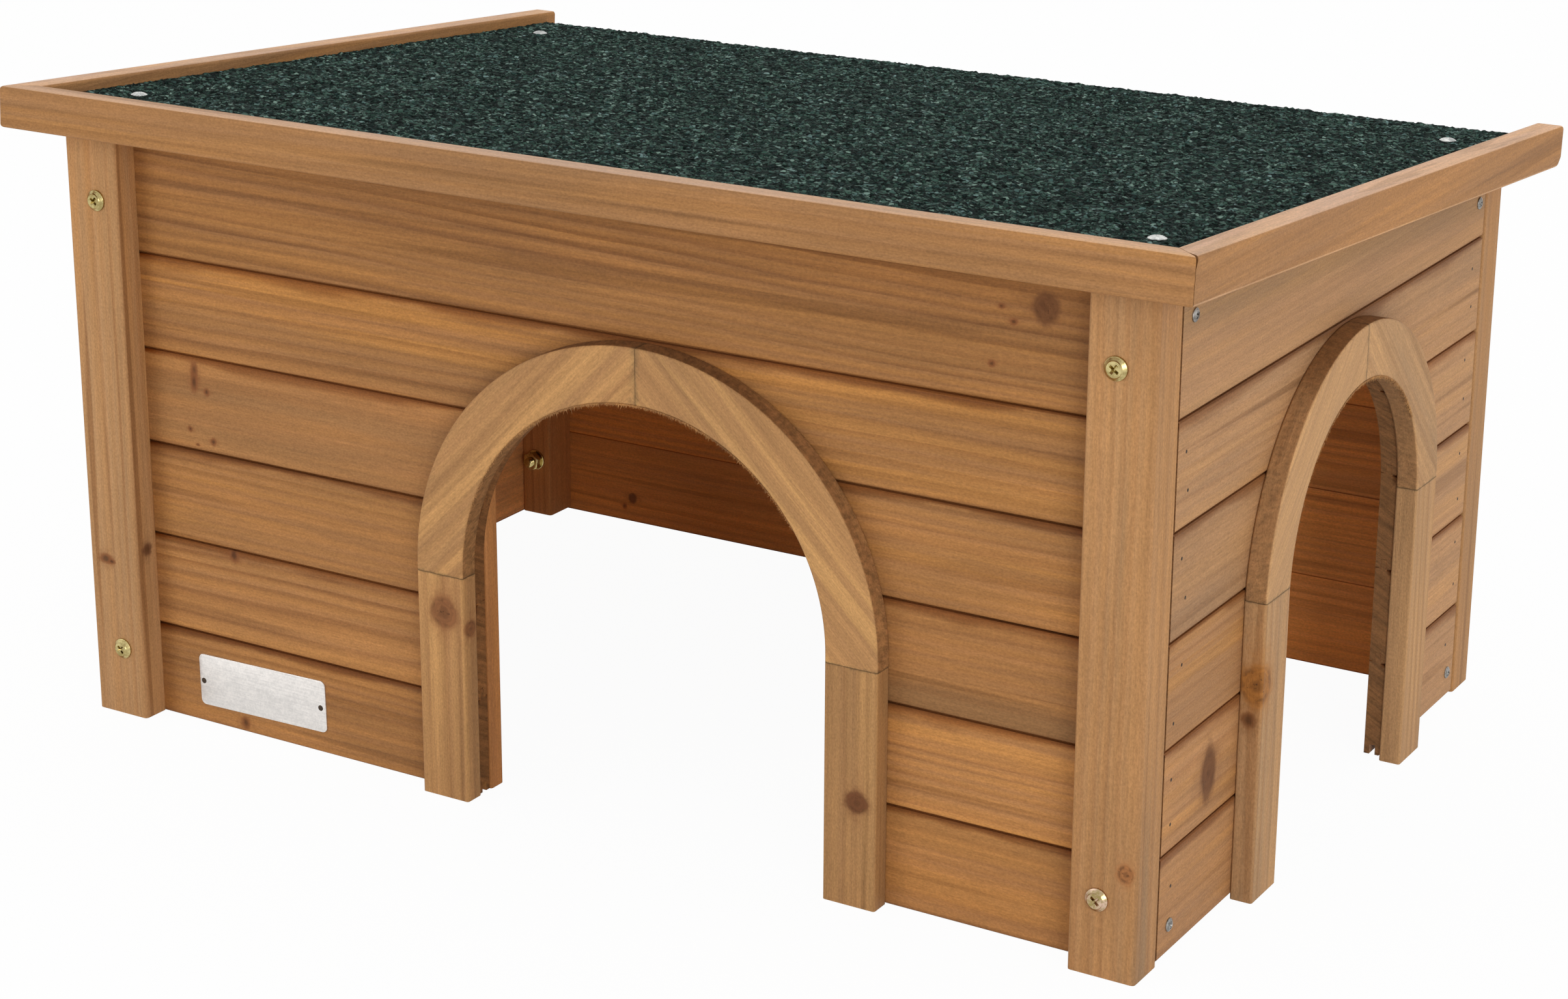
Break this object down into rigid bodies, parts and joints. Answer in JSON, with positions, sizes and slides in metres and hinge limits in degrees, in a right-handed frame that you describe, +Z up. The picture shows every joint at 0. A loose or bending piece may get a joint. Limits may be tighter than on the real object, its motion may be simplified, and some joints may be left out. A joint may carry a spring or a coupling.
{
  "type": "rabbit hutch",
  "caption": "Low wooden rabbit hutch of tongue-and-groove boards on corner posts, with arched doorways in the front and one side and a felted pent roof in a raised rail.",
  "frame": {"origin": "on the floor, under the middle of the roof's outline", "axes": "+Z up; +Y from the front wall to the rear wall; +X to the right as seen from the front, towards the wall with the side doorway"},
  "size_m": [0.646, 0.4619, 0.3349],
  "materials": {
    "post_wood": "planed softwood with a thin clear stain, satin",
    "front_board_wood": "planed tongue-and-groove softwood with a brown stain, satin",
    "side_board_wood": "planed tongue-and-groove softwood with a light stain, satin",
    "batten_wood": "sawn softwood, matt",
    "front_trim_wood": "sawn and sanded softwood, matt",
    "side_trim_wood": "sawn and sanded softwood, matt",
    "roof_panel_wood": "plain softwood board, matt",
    "rail_wood": "planed softwood with a thin stain, satin",
    "roof_felt": "bitumen roofing felt with green mineral granules, matt and rough",
    "white_zinc": "bright zinc-plated steel",
    "yellow_zinc": "yellow-passivated zinc-plated steel"
  },
  "bodies": {
    "root": {"front_post_left": "post_wood", "front_post_right": "post_wood", "rear_post_left": "post_wood", "rear_post_right": "post_wood", "front_board_1_left": "front_board_wood", "front_board_1_right": "front_board_wood", "front_board_2_left": "front_board_wood", "front_board_2_right": "front_board_wood", "front_board_3_left": "front_board_wood", "front_board_3_right": "front_board_wood", "front_board_4_left": "front_board_wood", "front_board_4_right": "front_board_wood", "front_board_5": "front_board_wood", "front_board_6": "front_board_wood", "right_board_1_front": "side_board_wood", "right_board_1_rear": "side_board_wood", "right_board_2_front": "side_board_wood", "right_board_2_rear": "side_board_wood", "right_board_3_front": "side_board_wood", "right_board_3_rear": "side_board_wood", "right_board_4_front": "side_board_wood", "right_board_4_rear": "side_board_wood", "right_board_5": "side_board_wood", "right_board_6": "side_board_wood", "rear_board_1": "front_board_wood", "rear_board_2": "front_board_wood", "rear_board_3": "front_board_wood", "rear_board_4": "front_board_wood", "rear_board_5": "front_board_wood", "rear_board_6": "front_board_wood", "left_board_1": "side_board_wood", "left_board_2": "side_board_wood", "left_board_3": "side_board_wood", "left_board_4": "side_board_wood", "left_board_5": "side_board_wood", "left_board_6": "side_board_wood", "batten_front_left": "batten_wood", "batten_front_right": "batten_wood", "batten_rear_left": "batten_wood", "batten_rear_right": "batten_wood", "front_arch_left": "front_trim_wood", "front_arch_right": "front_trim_wood", "front_jamb_left": "front_trim_wood", "front_jamb_right": "front_trim_wood", "door_batten_left": "batten_wood", "door_batten_right": "batten_wood", "side_arch_front": "side_trim_wood", "side_arch_rear": "side_trim_wood", "side_jamb_front": "side_trim_wood", "side_jamb_rear": "side_trim_wood", "roof_panel": "roof_panel_wood", "roof_felt": "roof_felt", "roof_rail_front": "rail_wood", "roof_rail_left": "rail_wood", "roof_rail_right": "rail_wood", "roof_screws": "white_zinc", "side_screws": "white_zinc", "corner_bolts": "yellow_zinc", "corner_washers": "yellow_zinc", "corner_nuts": "yellow_zinc"}
  },
  "joints": []
}
